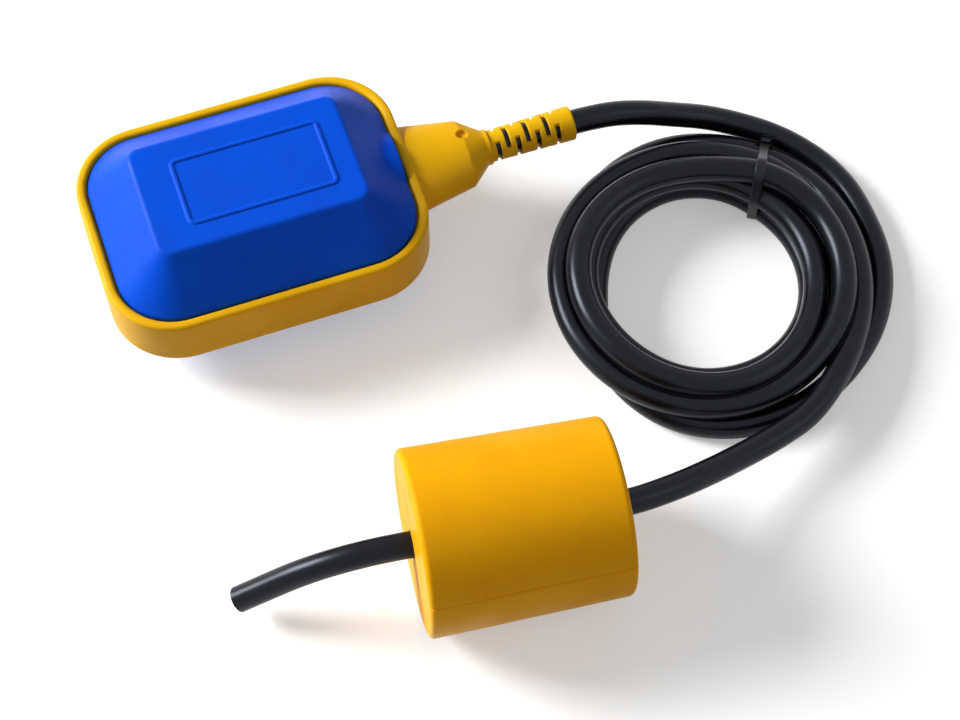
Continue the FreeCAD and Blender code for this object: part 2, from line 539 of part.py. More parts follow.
def ball_housing():
    """The tray whose channel the ball rolls in, with four ears for the screws."""
    body = new_body("ball_housing")
    outline = new_sketch(body, "outline", "XY_Plane", TRAY_BASE)
    side = f"({TRACK_Y} + Sizes.tray_wall)"
    rectangle(outline, "tray", TRAY_LOW_X, TRAY_HIGH_X, "-" + side, side)
    extrude(body, "Pad", outline, "Sizes.tray_floor + Sizes.tray_depth")
    for i, (x, way) in enumerate(EARS):
        web = new_sketch(body, f"ear{i}", "XY_Plane", TRAY_BASE)
        low, high = (f"-{EAR_Y}", f"-{TRACK_Y}") if way else (TRACK_Y, EAR_Y)
        rectangle(web, "web", f"{x} - Sizes.ear_radius", f"{x} + Sizes.ear_radius", low, high)
        extrude(body, "Pad", web, "Sizes.tray_floor")
        tip = new_sketch(body, f"tip{i}", "XY_Plane", TRAY_BASE)
        circle(tip, "tip", "Sizes.ear_radius", x, way + EAR_Y)
        extrude(body, "Pad", tip, "Sizes.tray_floor")
    screws = new_sketch(body, "ear_holes", "XY_Plane", TRAY_BASE)
    for i, (x, way) in enumerate(EARS):
        circle(screws, f"hole{i}", "Sizes.screw_radius + Sizes.screw_clearance", x, way + EAR_Y)
    extrude(body, "Pocket", screws, "Sizes.tray_floor", reverse=True)
    track = new_sketch(body, "track", "XY_Plane", TRACK_Z)
    rectangle(track, "track", TRACK_LOW_X, TRACK_HIGH_X, "-" + TRACK_Y, TRACK_Y)
    extrude(body, "Pocket", track, "Sizes.tray_depth", reverse=True)
    relief = new_sketch(body, "lever_relief", "XY_Plane", TRAY_TOP)
    rectangle(relief, "relief", f"{TRACK_HIGH_X} - 1", WINDOW_HIGH_X, "-" + WINDOW_Y, WINDOW_Y)
    extrude(body, "Pocket", relief, "Sizes.relief_depth")
    pilot = new_sketch(body, "pilots", "XY_Plane", TRAY_TOP)
    for i, x in enumerate(BRACKET_SCREW_X):
        circle(pilot, f"pilot{i}", "Sizes.screw_radius + Sizes.screw_clearance", x, "0")
    extrude(body, "Pocket", pilot, "Sizes.screw_length - Sizes.bracket_plate + 0.3")
    return keep(body, "ball_housing")


def screw(name, length, x, y, z):
    """A pan-head screw standing on its head's seat at x, y, z."""
    shank = cylinder(name + "_shank", "Sizes.screw_radius", length, x, y, f"{z} - {length}")
    head = cylinder(name + "_head", "Sizes.screw_head_radius", "Sizes.screw_head", x, y, z)
    return fuse(name, [shank, head])


def compound(label, things):
    """Separate like pieces kept in one node."""
    thing = doc.addObject("Part::Compound", label + "_group")
    thing.Links = things
    return keep(thing, label)


def steel_ball():
    ball = doc.addObject("Part::Sphere", "ball")
    ball.setExpression("Radius", "Sizes.ball_radius")
    ball.setExpression("Placement.Base.x", "Sizes.ball_start")
    ball.setExpression("Placement.Base.z", f"{TRACK_Z} + Sizes.rolling_gap + Sizes.ball_radius")
    return keep(ball, "steel_ball")


# ---------------------------------------------------------------- bracket, lever and microswitch
PIVOT_Z = f"({TRACK_Z} + Sizes.pivot_rise)"
SWITCH_Z = f"({TRACK_Z} + Sizes.switch_rise)"
PLUNGER_X = "(Sizes.pivot_x - Sizes.push_arm)"
SWITCH_HIGH_X = f"({PLUNGER_X} + Sizes.switch_end)"
SWITCH_LOW_X = f"({SWITCH_HIGH_X} - Sizes.switch_length)"
SWITCH_MIDDLE_X = f"({SWITCH_HIGH_X} - Sizes.switch_length / 2)"
SWITCH_TOP = f"({SWITCH_Z} + Sizes.switch_height)"
CHEEK_Y = "(Sizes.switch_width / 2 + Sizes.cheek_clearance)"
CHEEK_OUT_Y = f"({CHEEK_Y} + Sizes.cheek_wall)"
RIVET_X = [f"({SWITCH_MIDDLE_X} {sign} Sizes.rivet_pitch / 2)" for sign in "-+"]
RIVET_Z = f"({SWITCH_Z} + Sizes.rivet_rise)"


def switch_bracket():
    """The tray's lid: a window for the lever, and two cheeks that hold its pin and the switch."""
    body = new_body("switch_bracket")
    side = f"({TRACK_Y} + Sizes.tray_wall)"
    plate = new_sketch(body, "plate", "XY_Plane", TRAY_TOP)
    rectangle(plate, "plate", TRAY_LOW_X, TRAY_HIGH_X, "-" + side, side)
    extrude(body, "Pad", plate, "Sizes.bracket_plate")
    for way in ("", "-"):
        cheek = new_sketch(body, "cheek", "XZ_Plane", f"{way}({CHEEK_Y} + Sizes.cheek_wall / 2)")
        rectangle(cheek, "cheek", f"{SWITCH_LOW_X} - Sizes.cheek_back", "Sizes.pivot_x + Sizes.cheek_front",
                  TRAY_TOP, f"{RIVET_Z} + Sizes.rivet_head_radius + 1")
        extrude(body, "Pad", cheek, "Sizes.cheek_wall", both_ways=True)
    window = new_sketch(body, "window", "XY_Plane", TRAY_TOP)
    rectangle(window, "window", f"{TRACK_LOW_X} + Sizes.tray_wall", WINDOW_HIGH_X,
              "-" + WINDOW_Y, WINDOW_Y)
    extrude(body, "Pocket", window, "Sizes.bracket_plate", reverse=True)
    across = new_sketch(body, "cross_holes", "XZ_Plane")
    circle(across, "pin", "Sizes.pin_radius + Sizes.pin_clearance / 2", "Sizes.pivot_x", PIVOT_Z)
    for i, x in enumerate(RIVET_X):
        circle(across, f"rivet{i}", "Sizes.rivet_radius + Sizes.screw_clearance", x, RIVET_Z)
    extrude(body, "Pocket", across, f"2 * {CHEEK_OUT_Y} + 2", both_ways=True)
    holes = new_sketch(body, "screw_holes", "XY_Plane", TRAY_TOP)
    for i, x in enumerate(BRACKET_SCREW_X):
        circle(holes, f"hole{i}", "Sizes.screw_radius + Sizes.screw_clearance", x, "0")
    extrude(body, "Pocket", holes, "Sizes.bracket_plate", reverse=True)
    return keep(body, "switch_bracket")


def lever_pin():
    shank = cylinder("pin_shank", "Sizes.pin_radius", f"2 * {CHEEK_OUT_Y} + Sizes.pin_head", "Sizes.pivot_x",
                     f"-{CHEEK_OUT_Y} - Sizes.pin_head", PIVOT_Z, "Y")
    head = cylinder("pin_cap", "Sizes.pin_head_radius", "Sizes.pin_head", "Sizes.pivot_x",
                    CHEEK_OUT_Y, PIVOT_Z, "Y")
    return keep(fuse("lever_pin", [shank, head]), "lever_pin")


def ball_lever():
    """The cam lever. Its underside is worked out so that the lever turns in proportion to the
    ball's travel: the ball's centre, seen from the turning lever, runs along a curve, and the
    cam is that curve moved out along its normal by the ball's radius and a contact gap."""
    swing, travel = math.radians(size("lever_angle")), size("ball_travel")
    start_x = size("ball_start") - size("pivot_x")
    drop = size("rolling_gap") + size("ball_radius") - size("pivot_rise")
    reach = size("ball_radius") + size("contact_gap")

    def ball_centre(distance):
        angle = swing * distance / travel
        x, z = start_x + distance, drop
        return V(x * math.cos(angle) - z * math.sin(angle), 0, x * math.sin(angle) + z * math.cos(angle))

    def cam_point(distance, lift):
        along = ball_centre(distance + 0.01) - ball_centre(distance - 0.01)
        normal = V(-along.z, 0, along.x).normalize()
        return ball_centre(distance) + normal * lift

    steps = [travel * (i - 1) / 8 for i in range(11)]
    under = Part.BSplineCurve()
    under.interpolate([cam_point(d, reach) for d in steps])
    over = Part.BSplineCurve()
    over.interpolate([cam_point(d, reach + size("lever_thickness")) for d in reversed(steps[:-1])])
    hub, push = size("hub_radius"), size("push_arm")
    corners = [V(0, 0, -0.8 * hub), V(0, 0, 0.5 * hub), V(-push, 0, 0), V(-push - 1.5, 0, -0.4)]
    edges = [under.toShape()]
    last = under.EndPoint
    for point in corners + [over.StartPoint]:
        edges.append(Part.LineSegment(last, point).toShape())
        last = point
    edges.append(over.toShape())
    edges.append(Part.LineSegment(over.EndPoint, under.StartPoint).toShape())
    width = size("lever_width")
    arm = Part.Face(Part.Wire(edges)).extrude(V(0, width, 0))
    hub_disc = Part.makeCylinder(hub, width, V(0, 0, 0), V(0, 1, 0))
    pad = Part.makeCylinder(size("push_radius"), width, V(-push, 0, 0), V(0, 1, 0))
    bore = Part.makeCylinder(size("pin_radius") + size("pin_clearance"), width, V(0, 0, 0), V(0, 1, 0))
    thing = doc.addObject("Part::Feature", "cam_lever")
    thing.Shape = arm.fuse([hub_disc, pad]).cut(bore).removeSplitter()
    pivot_z = size("body_thickness") - size("track_below_top") + size("pivot_rise")
    thing.Placement = FreeCAD.Placement(V(size("pivot_x"), -width / 2, pivot_z), FreeCAD.Rotation())
    return keep(thing, "ball_lever")


def microswitch():
    """Case, side cover, plunger, rivets and three solder blades."""
    half = "Sizes.switch_width / 2"
    split = f"({half} - Sizes.switch_cover)"
    plunger_hole = cylinder("plunger_hole", "Sizes.plunger_radius + Sizes.contact_gap",
                            "Sizes.plunger_length + Sizes.plunger_room", PLUNGER_X, "0",
                            f"{SWITCH_Z} - 0.2")
    pieces = {"microswitch_case": ("-" + half, split), "microswitch_cover": (split, half)}
    for label, (low_y, high_y) in pieces.items():
        block = box(label + "_block", SWITCH_LOW_X, SWITCH_HIGH_X, low_y, high_y, SWITCH_Z, SWITCH_TOP)
        tools = [cylinder(f"{label}_hole{i}", "Sizes.rivet_radius + Sizes.screw_clearance",
                          f"2 * {CHEEK_OUT_Y}", x, f"-{CHEEK_OUT_Y}", RIVET_Z, "Y")
                 for i, x in enumerate(RIVET_X)]
        if label == "microswitch_case":
            tools.append(plunger_hole)
        keep(cut(label, block, tools), label)
    tip = f"({PIVOT_Z} + Sizes.push_radius + Sizes.contact_gap)"
    keep(cylinder("plunger", "Sizes.plunger_radius", "Sizes.plunger_length", PLUNGER_X, "0", tip),
         "microswitch_plunger")
    rivets = []
    for i, x in enumerate(RIVET_X):
        low_y = f"-{CHEEK_OUT_Y} - Sizes.rivet_head"
        shank = cylinder(f"rivet_shank{i}", "Sizes.rivet_radius", f"2 * {CHEEK_OUT_Y} + 2 * Sizes.rivet_head",
                         x, low_y, RIVET_Z, "Y")
        ends = [cylinder(f"rivet_head{i}{j}", "Sizes.rivet_head_radius", "Sizes.rivet_head",
                         x, y, RIVET_Z, "Y") for j, y in enumerate((CHEEK_OUT_Y, low_y))]
        rivets.append(fuse(f"rivet{i}", [shank] + ends))
    compound("switch_rivets", rivets)
    for label, place in (("terminal_open", -1), ("terminal_closed", 0), ("terminal_common", 1)):
        x = f"{SWITCH_MIDDLE_X} + {place} * Sizes.blade_pitch"
        keep(box(label, f"{x} - Sizes.blade_length / 2", f"{x} + Sizes.blade_length / 2",
                 "-Sizes.blade_width / 2", "Sizes.blade_width / 2", SWITCH_TOP,
                 f"{SWITCH_TOP} + Sizes.blade_height"), label)


def housing_screws():
    ears = [screw(f"ear_screw{i}", EAR_SCREW, x, way + EAR_Y, TRACK_Z) for i, (x, way) in enumerate(EARS)]
    compound("housing_screws", ears)
    seat = f"({TRAY_TOP} + Sizes.bracket_plate)"
    lids = [screw(f"lid_screw{i}", "Sizes.screw_length", x, "0", seat)
            for i, x in enumerate(BRACKET_SCREW_X)]
    compound("bracket_screws", lids)


# ---------------------------------------------------------------- cable inside the float, and its cores
NECK_END = END_X + size("neck_length") + size("neck_shoulder") + size("neck_collar")
MOUTH = V(NECK_END + size("boot_reach"), 0, MIDDLE)
INSIDE_X = END_X - size("band_wall") - size("cable_inside")


def cable_root():
    """The stretch of cable held by the boot, neck and seal, ending inside the float."""
    length = f"{BOOT_MOUTH_X} - {SHELL_END_X} + Sizes.cable_inside"
    root = cylinder("root", "Sizes.cable_diameter / 2", length, f"{SHELL_END_X} - Sizes.cable_inside", "0",
                    HALF, "X")
    return keep(root, "cable_root")


def cable_clamp():
    """Crimped ring that stops the cable being pulled out through the shells' end wall."""
    start = f"{SHELL_END_X} - Sizes.shell_wall - Sizes.clamp_length"
    ring = cylinder("clamp_ring", "Sizes.clamp_radius", "Sizes.clamp_length", start, "0", HALF, "X")
    hole = cylinder("clamp_hole", "Sizes.cable_diameter / 2", "Sizes.clamp_length", start, "0", HALF, "X")
    return keep(cut("cable_clamp", ring, [hole]), "cable_clamp")


def cores():
    """Three insulated cores, each from the cable's cut end up and over to its own blade."""
    core, blade = size("core_diameter"), size("blade_width")
    switch_high = size("pivot_x") - size("push_arm") + size("switch_end")
    middle = switch_high - size("switch_length") / 2
    track_z = size("body_thickness") - size("track_below_top")
    top = track_z + size("switch_rise") + size("switch_height")
    level = top + core / 2 + 0.3
    lay = CABLE_R - core / 2 - 0.9
    beside = blade / 2 + core / 2
    ways = {"core_common": (0, 1, 1, 0), "core_closed": (120, 0, 1, 1), "core_open": (240, -1, -1, 1)}
    for label, (clock, place, way, aside) in ways.items():
        across = lay * math.sin(math.radians(clock))
        up = lay * math.cos(math.radians(clock))
        side = way * aside * (core + 0.3)
        target = middle + place * size("blade_pitch")
        spread = 2.2 * across
        points = [V(INSIDE_X, across, MIDDLE + up), V(INSIDE_X - 6, across, MIDDLE + up),
                  V(INSIDE_X - 10, spread, MIDDLE + up + 7),
                  V(INSIDE_X - 15, spread, level - 3), V(INSIDE_X - 21, side, level)]
        if place == 1:
            points.append(V(target + size("blade_length") / 2, side, level))
        else:
            points.append(V(target + 7, side, level))
            points.append(V(target - 1, way * beside, level))
        tube(label, points, core)


# ---------------------------------------------------------------- counterweight
YAW, DRAFT = -6.8, size("weight_draft")
WEIGHT_LEFT = V(10.8, -132.5, size("weight_radius") * math.cos(math.radians(DRAFT)))
WEIGHT_TURN = FreeCAD.Rotation(V(0, 0, 1), YAW) * FreeCAD.Rotation(V(0, 1, 0), DRAFT)
WEIGHT_AXIS = WEIGHT_TURN.multVec(V(1, 0, 0))
SLOPE = "tan(Sizes.weight_draft * 1deg)"
WEIGHT_HOLE = "(Sizes.cable_diameter / 2 + Sizes.weight_clearance)"
UPPER_TURN = 90 - size("weight_seam")


def weight_place(turn):
    """Lies along the counterweight's axis, turned about it so that the parting line shows."""
    return FreeCAD.Placement(WEIGHT_LEFT, WEIGHT_TURN * FreeCAD.Rotation(V(1, 0, 0), turn))


def weight_radius(x, inside="0"):
    return f"(Sizes.weight_radius - ({x}) * {SLOPE} - ({inside}))"


def weight_shell(label, turn):
    """Half of the counterweight's moulded shell, with two half-round ribs for the iron."""
    body = new_body(label)
    whole = new_sketch(body, "whole", "XZ_Plane")
    end = "Sizes.weight_length"
    quadrilateral(whole, "whole", [("0", "0"), (end, "0"), (end, weight_radius(end)),
                                   ("0", weight_radius("0"))])
    solid = revolve(body, "Revolution", whole, 180.0)
    doc.recompute()
    rims = edges_where(solid.Shape, lambda e: e.BoundBox.XLength < 1e-4 and len(e.Vertexes) == 2
                       and e.Length > 2 * size("weight_radius"))
    rims = [name for name in rims if solid.Shape.getElement(name).Curve.TypeId == "Part::GeomCircle"]
    dress(body, "Fillet", solid, rims, "Sizes.weight_round")
    hollow = new_sketch(body, "hollow", "XZ_Plane")
    wall, far = "Sizes.weight_wall", f"({end} - Sizes.weight_wall)"
    quadrilateral(hollow, "hollow", [(wall, "0"), (far, "0"), (far, weight_radius(far, wall)),
                                     (wall, weight_radius(wall, wall))])
    revolve(body, "Groove", hollow, 180.0)
    passage = new_sketch(body, "passage", "XZ_Plane")
    quadrilateral(passage, "passage", [("0", "0"), (end, "0"), (end, WEIGHT_HOLE), ("0", WEIGHT_HOLE)])
    revolve(body, "Groove", passage, 180.0)
    doc.recompute()
    inner = size("weight_radius") - size("weight_wall")
    seam = edges_where(body.Shape, lambda e: e.Curve.TypeId == "Part::GeomLine" and e.BoundBox.YLength < 1e-4
                       and e.Length > 0.8 * size("weight_length")
                       and min(abs(e.BoundBox.ZMin), abs(e.BoundBox.ZMax)) > inner)
    dress(body, "Chamfer", body.Tip, seam, "Sizes.seam_chamfer")
    for side in "-+":
        rib = new_sketch(body, "rib", "XZ_Plane")
        low = f"(Sizes.weight_length / 2 {side} Sizes.rib_spacing / 2 - Sizes.rib_thickness / 2)"
        high = f"({low} + Sizes.rib_thickness)"
        sunk = f"{wall} / 2"
        quadrilateral(rib, "rib", [(low, "Sizes.iron_radius"), (high, "Sizes.iron_radius"),
                                   (high, weight_radius(high, sunk)), (low, weight_radius(low, sunk))])
        revolve(body, "Revolution", rib, 180.0)
    body.Placement = weight_place(turn)
    return keep(body, label)


def iron_core(label, turn):
    """Half of the cast-iron core, bored for the sleeve."""
    body = new_body(label)
    ring = new_sketch(body, "ring", "XZ_Plane")
    low = "(Sizes.weight_length / 2 - Sizes.iron_length / 2)"
    rectangle(ring, "ring", low, f"{low} + Sizes.iron_length", "Sizes.sleeve_radius", "Sizes.iron_radius")
    revolve(body, "Revolution", ring, 180.0)
    body.Placement = weight_place(turn)
    return keep(body, label)


def grip_sleeve():
    """Rubber sleeve that grips the cable inside the iron core."""
    body = new_body("grip_sleeve")
    ring = new_sketch(body, "ring", "XZ_Plane")
    low = "(Sizes.weight_length / 2 - Sizes.sleeve_length / 2)"
    rectangle(ring, "ring", low, f"{low} + Sizes.sleeve_length",
              "Sizes.cable_diameter / 2 + Sizes.sleeve_clearance", "Sizes.sleeve_radius")
    revolve(body, "Revolution", ring)
    body.Placement = weight_place(0)
    return keep(body, "grip_sleeve")


# ---------------------------------------------------------------- free cable: lead, coil, tie and run
COIL_CENTRE = V(135.3, -64.3, 0)
COIL_SHIFT_ANGLE, TIE_ANGLE = -40.0, 42.0


def cable_lead():
    """From the boot's mouth down to the floor and round to where the coil begins."""
    points = [MOUTH, MOUTH + V(11.5, 0, 0), V(136.0, -0.2, 21.6), V(148.0, -0.6, 15.4), V(160.0, -3.7, 10.3),
              V(171.4, -9.9, 6.9), V(181.0, -19.0, 5.1), V(188.4, -30.3, CABLE_R)]
    tube("cable_lead", points, 2 * CABLE_R)


def coil_solid():
    """The outer shape of the tied turns: a ring that is broadest on the side the ends leave by."""
    angle = math.radians(COIL_SHIFT_ANGLE)
    shift = V(math.cos(angle), math.sin(angle), 0) * size("coil_shift")
    height, soft = size("coil_height"), size("coil_round")
    outside = Part.makeCylinder(size("coil_radius"), height, COIL_CENTRE + shift)
    hole = Part.makeCylinder(size("coil_hole_radius"), height, COIL_CENTRE)
    ring = outside.cut(hole)
    rims = [e for e in ring.Edges if e.Curve.TypeId == "Part::GeomCircle" and e.BoundBox.ZLength < 1e-4]
    return ring.makeFillet(soft, rims)


def tie_band(grow):
    """The tie's closed strap round the bundle, standing across the coil at its own angle."""
    angle = math.radians(TIE_ANGLE)
    outward = size("coil_shift") * math.cos(angle - math.radians(COIL_SHIFT_ANGLE))
    low = size("coil_hole_radius") - grow
    high = size("coil_radius") + outward + grow
    bottom, top = max(0.0, -grow), size("coil_height") + grow
    width = size("tie_width")
    block = Part.makeBox(high - low, width, top - bottom, V(low, -width / 2, bottom))
    edges = [e for e in block.Edges if e.BoundBox.YLength > width - 0.01]
    block = block.makeFillet(size("coil_round") - 1 + grow, edges)
    block.Placement = FreeCAD.Placement(COIL_CENTRE, FreeCAD.Rotation(V(0, 0, 1), TIE_ANGLE))
    return block, high, top


def coil_and_tie():
    band, high, top = tie_band(0.2)
    inner, _, _ = tie_band(-size("tie_thickness"))
    coil = coil_solid()
    strap = band.cut(inner)
    head = size("tie_head")
    lock = Part.makeBox(head, head, head, V(high - head - 3, -head / 2, top - 0.4))
    tail = Part.makeBox(4, size("tie_width") - 0.6, size("tie_thickness"),
                        V(high - 3.2, -size("tie_width") / 2 + 0.3, top + head / 2))
    for piece in (lock, tail):
        piece.Placement = FreeCAD.Placement(COIL_CENTRE, FreeCAD.Rotation(V(0, 0, 1), TIE_ANGLE))
    tie = strap.fuse([lock, tail]).removeSplitter()
    for label, shape in (("cable_coil", coil.cut(tie)), ("cable_tie", tie)):
        thing = doc.addObject("Part::Feature", label + "_solid")
        thing.Shape = shape
        keep(thing, label)


def cable_run():
    """From the coil, straight through the counterweight, to the plain cut end."""
    enter = WEIGHT_LEFT + WEIGHT_AXIS * (size("weight_length") + 5)
    leave = WEIGHT_LEFT - WEIGHT_AXIS * 11.5
    points = [V(138.5, -124.0, 14.6), V(123.3, -129.6, 16.0), V(109.0, -135.0, 20.2), V(95.2, -138.8, 24.8),
              enter, leave,
              V(-12.5, -129.2, 27.0), V(-23.5, -126.9, 21.6), V(-33.5, -124.9, 14.7), V(-43.2, -123.4, 8.6)]
    tube("cable_run", points, 2 * CABLE_R)


def check_and_export():
    """Every object must have built, and every sub-part must be a valid solid, before any is written."""
    doc.recompute()
    bad = [o.Name for o in doc.Objects if "Invalid" in o.State or "Error" in o.State]
    for part in PARTS:
        shape = part.Shape
        if shape.isNull() or not shape.isValid() or not shape.Solids:
            bad.append(part.Label)
    if bad:
        raise SystemExit("failed: " + ", ".join(bad))
    os.makedirs("parts", exist_ok=True)
    for part in PARTS:
        part.Shape.exportStep(f"parts/{part.Label}.step")
        print(f"{part.Label}: {len(part.Shape.Solids)} solid, {part.Shape.Volume:.0f} mm3")


upper_shell()
lower_shell()
outer_band()
neck_seal()
cable_boot()
ball_housing()
steel_ball()
switch_bracket()
lever_pin()
ball_lever()
microswitch()
housing_screws()
cable_root()
cable_clamp()
cores()
weight_shell("weight_shell_upper", UPPER_TURN)
weight_shell("weight_shell_lower", UPPER_TURN + 180)
iron_core("iron_core_upper", UPPER_TURN)
iron_core("iron_core_lower", UPPER_TURN + 180)
grip_sleeve()
cable_lead()
coil_and_tie()
cable_run()
check_and_export()
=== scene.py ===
# %% [markdown]
# # A float level switch
# A float switch hangs in a tank on its own cable. The float is a flat blue box held in a yellow
# band; a steel ball inside it rolls when the float tilts and works a small switch. A slotted boot
# guards the cable where it leaves the neck, and a yellow counterweight clamped on the cable sets
# the height at which the float turns over. Here the switch lies on a pale table with its cable
# tied in a coil. This notebook dresses the finished mechanical model: it loads the parts, lays the
# cable, and gives every part the surface that it has on the real thing.

# %% Load the parts
import json
import math

import bmesh
import bpy
import numpy as np
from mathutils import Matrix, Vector


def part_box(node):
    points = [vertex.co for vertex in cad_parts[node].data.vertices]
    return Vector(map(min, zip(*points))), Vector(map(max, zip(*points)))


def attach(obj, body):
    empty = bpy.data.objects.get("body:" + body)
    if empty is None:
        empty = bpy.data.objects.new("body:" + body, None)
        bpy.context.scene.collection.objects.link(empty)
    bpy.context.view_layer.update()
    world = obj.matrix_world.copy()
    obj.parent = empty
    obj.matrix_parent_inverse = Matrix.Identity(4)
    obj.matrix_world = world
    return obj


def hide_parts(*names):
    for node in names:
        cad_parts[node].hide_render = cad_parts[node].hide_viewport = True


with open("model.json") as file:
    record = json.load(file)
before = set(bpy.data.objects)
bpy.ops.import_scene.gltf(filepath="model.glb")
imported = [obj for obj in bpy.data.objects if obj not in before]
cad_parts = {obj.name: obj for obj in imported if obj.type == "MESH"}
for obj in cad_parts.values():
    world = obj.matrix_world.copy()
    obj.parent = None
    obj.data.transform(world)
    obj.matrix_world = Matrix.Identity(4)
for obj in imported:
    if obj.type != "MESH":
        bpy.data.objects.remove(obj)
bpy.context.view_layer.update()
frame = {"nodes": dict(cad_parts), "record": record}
scene = bpy.context.scene
MM = 0.001

# %% [markdown]
# ## The camera
# A long, low thing is best shown from well above with a long lens, so that its far end is hardly
# smaller than its near end. A 90 mm lens on a full-frame sensor does this here. The camera is
# placed by two angles and a distance from the point it looks at, which is easier to judge and to
# change than three bare coordinates.

# %% Camera
LOOK_AT = Vector((56.8, -63.5, 0)) * MM
CAMERA_AZIMUTH, CAMERA_ELEVATION = math.radians(-19.24), math.radians(60.95)
CAMERA_DISTANCE = 793.2 * MM
level = math.cos(CAMERA_ELEVATION)
backwards = Vector((math.sin(CAMERA_AZIMUTH) * level, -math.cos(CAMERA_AZIMUTH) * level,
                    math.sin(CAMERA_ELEVATION)))
camera = bpy.data.objects.new("camera", bpy.data.cameras.new("camera"))
scene.collection.objects.link(camera)
scene.camera = camera
camera.data.lens = 90
camera.data.sensor_width = 36
camera.data.clip_start = 0.01
camera.location = LOOK_AT + backwards * CAMERA_DISTANCE
camera.rotation_mode = "QUATERNION"
camera.rotation_quaternion = (-backwards).to_track_quat("-Z", "Y")
print("camera stands at", [round(c / MM) for c in camera.location], "mm")

# %% [markdown]
# ## The cable's route
# The cable is one smooth curve from the boot's mouth to its cut end. A NURBS spline suits it, because it
# rounds every corner of its control polygon by itself. The free stretches are given point by point, and
# stay within a few millimetres of the tubes of the mechanical model.

# %% Free stretches of the cable
CABLE = 8.5 * MM
RADIUS = CABLE / 2
boot_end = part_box("cable_boot")[1][0]
MOUTH = (111.5, 0.0, 24.5)
lead_points = [MOUTH, (123.0, -0.3, 24.5), (136.0, -1.5, 21.2), (148.0, -2.2, 15.1), (160.2, -4.0, 10.3),
               (171.6, -9.0, 6.9), (181.4, -16.0, 5.3), (189.0, -25.0, 4.4), (194.7, -36.0, 4.25)]
run_points = [(135.5, -127.9, 13.6), (122.4, -131.4, 15.6), (109.0, -135.4, 20.2), (95.2, -138.8, 24.8)]
WEIGHT_LEFT = np.array((10.8, -132.5, 29.39))
WEIGHT_AXIS = np.array((0.992748, -0.118378, -0.020942))
WEIGHT_LENGTH = 64.0
# Two points in line with the bore at either end of it keep the cable straight in nearly all of it.
BORE_REACHES = (WEIGHT_LENGTH + 5, WEIGHT_LENGTH - 11.3, 0.8, -11.5)
inside_points = [tuple(WEIGHT_LEFT + WEIGHT_AXIS * reach) for reach in BORE_REACHES]
tail_points = [(-12.5, -129.2, 27.0), (-23.5, -126.9, 21.6), (-33.5, -124.9, 14.7), (-43.2, -123.4, 8.6)]
print("boot ends at", round(boot_end / MM, 1), "mm, the cable starts at", MOUTH[0], "mm")

# %% [markdown]
# ## The coil
# Five turns are tied in one place and fan out where nothing holds them, as a hand-wound coil does.
# Each turn is written as a few stations round the coil: the angle seen from its centre, how far
# out the strand lies there, and how high above the table. A smooth curve through the stations then
# gives sixteen control points for every turn. The last strand climbs over the first on its way out.
# The stations follow how the coil looks from above, so in places a strand runs partly through its
# neighbour, and in one place two strands run through each other.

# %% Stations of the five turns
COIL_CENTRE = np.array((135.3, -64.3))
EAST, SOUTH, WEST, NORTH, TIED = -19.5, -111.0, -199.0, -292.3, -317.0
turns = [
    [(14.0, 62.9, 4.25), (EAST, 59.4, 4.25), (-34, 57.4, 4.25), (-52, 54.9, 4.25), (SOUTH, 51.9, 4.25),
     (-155, 43.8, 4.25), (WEST, 35.2, 4.25), (NORTH, 41.1, 4.25), (TIED, 38.5, 4.25)],
    [(EAST, 36.1, 4.25), (SOUTH, 35.3, 4.25), (-155, 37.0, 8.5), (WEST, 39.4, 11.7), (NORTH, 39.1, 12.6),
     (TIED, 37.5, 12.7)],
    [(EAST, 36.5, 12.75), (SOUTH, 43.2, 15.6), (WEST, 42.1, 19.2), (NORTH, 36.8, 19.8), (TIED, 41.0, 20.2),
     (-350, 44.9, 16.4)],
    [(EAST, 45.6, 16.2), (SOUTH, 48.3, 10.8), (WEST, 47.8, 12.0), (NORTH, 50.2, 10.0), (TIED, 49.6, 12.0)],
    [(EAST, 45.0, 4.4), (SOUTH, 43.7, 4.25), (-155, 44.5, 5.5), (WEST, 44.2, 4.25), (NORTH, 57.6, 4.4),
     (TIED, 57.3, 4.4), (-347, 53.2, 9.6)],
    [(EAST, 51.5, 10.6), (-40.3, 52.2, 11.8), (-53, 53.6, 12.8), (-62.6, 55.3, 12.8), (-78.1, 59.6, 13.0)],
]
stations = [(angle - 360 * i, radius, height)
            for i, turn in enumerate(turns) for angle, radius, height in turn]
print("stations:", len(stations), "turns:", round((stations[0][0] - stations[-1][0]) / 360, 2))

# %% Control points of the coil
POINTS_PER_TURN = 16
angles = np.array([s[0] for s in stations])
walk = np.arange(stations[0][0], stations[-1][0] - 1, -360 / POINTS_PER_TURN)


def smooth_between(x, xs, ys):
    """Monotone cubic through the stations, which doesn't swing past them in between."""
    xs, ys = np.array(xs), np.array(ys)
    gaps = np.diff(xs)
    slopes = np.diff(ys) / gaps
    tangents = np.zeros(len(xs))
    for i in range(1, len(xs) - 1):
        if slopes[i - 1] * slopes[i] > 0:
            w1, w2 = 2 * gaps[i] + gaps[i - 1], gaps[i] + 2 * gaps[i - 1]
            tangents[i] = (w1 + w2) / (w1 / slopes[i - 1] + w2 / slopes[i])
    i = np.clip(np.searchsorted(xs, x) - 1, 0, len(gaps) - 1)
    t = (x - xs[i]) / gaps[i]
    return (ys[i] * (1 + 2 * t) * (1 - t) ** 2 + ys[i + 1] * t * t * (3 - 2 * t)
            + gaps[i] * (tangents[i] * t * (1 - t) ** 2 - tangents[i + 1] * t * t * (1 - t)))


